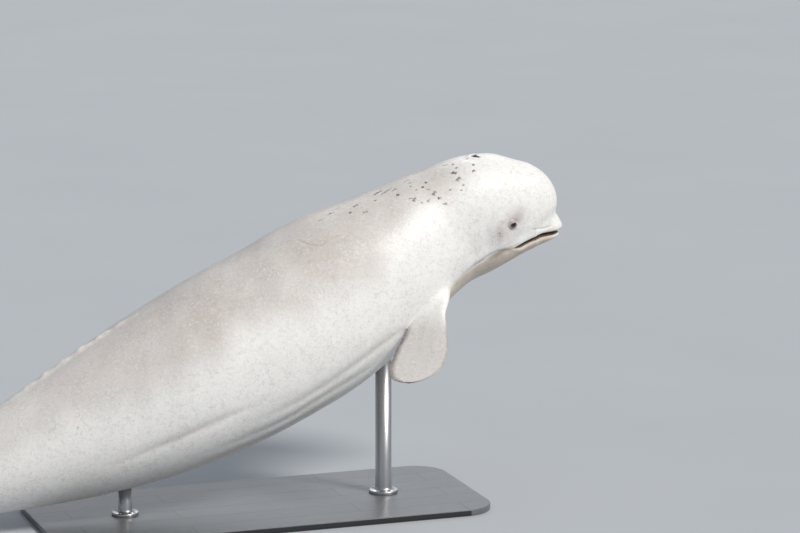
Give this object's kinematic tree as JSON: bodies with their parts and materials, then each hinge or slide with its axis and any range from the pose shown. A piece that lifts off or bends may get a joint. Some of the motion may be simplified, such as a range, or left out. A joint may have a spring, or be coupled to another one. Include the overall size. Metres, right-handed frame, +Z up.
{
  "type": "beluga whale",
  "caption": "Life-size beluga whale with its head lifted, lips, lids, blowhole, paddle flippers and flukes, held still on a flat display base by upright rods.",
  "frame": {"origin": "middle of the foot of the whole model's box, on the floor", "axes": "+X towards the whale's head, +Y to the whale's left, +Z up"},
  "size_m": [3.8424, 1.1668, 1.6221],
  "materials": {
    "skin": "smooth wet white skin, warm grey over the back",
    "eye": "glossy dark brown",
    "stand_base": "satin dark grey paint on timber board",
    "stand_rod": "satin brushed steel"
  },
  "bodies": {
    "root": {"head": "skin", "lower_jaw": "skin", "neck": "skin", "chest": "skin", "torso": "skin", "loin": "skin", "tail_stock": "skin", "dorsal_ridge": "skin", "flipper_left": "skin", "flipper_right": "skin", "fluke_left": "skin", "fluke_right": "skin", "eye_left": "eye", "eye_right": "eye", "stand_base": "stand_base", "stand_rod_front": "stand_rod", "stand_rod_rear": "stand_rod"}
  },
  "joints": []
}
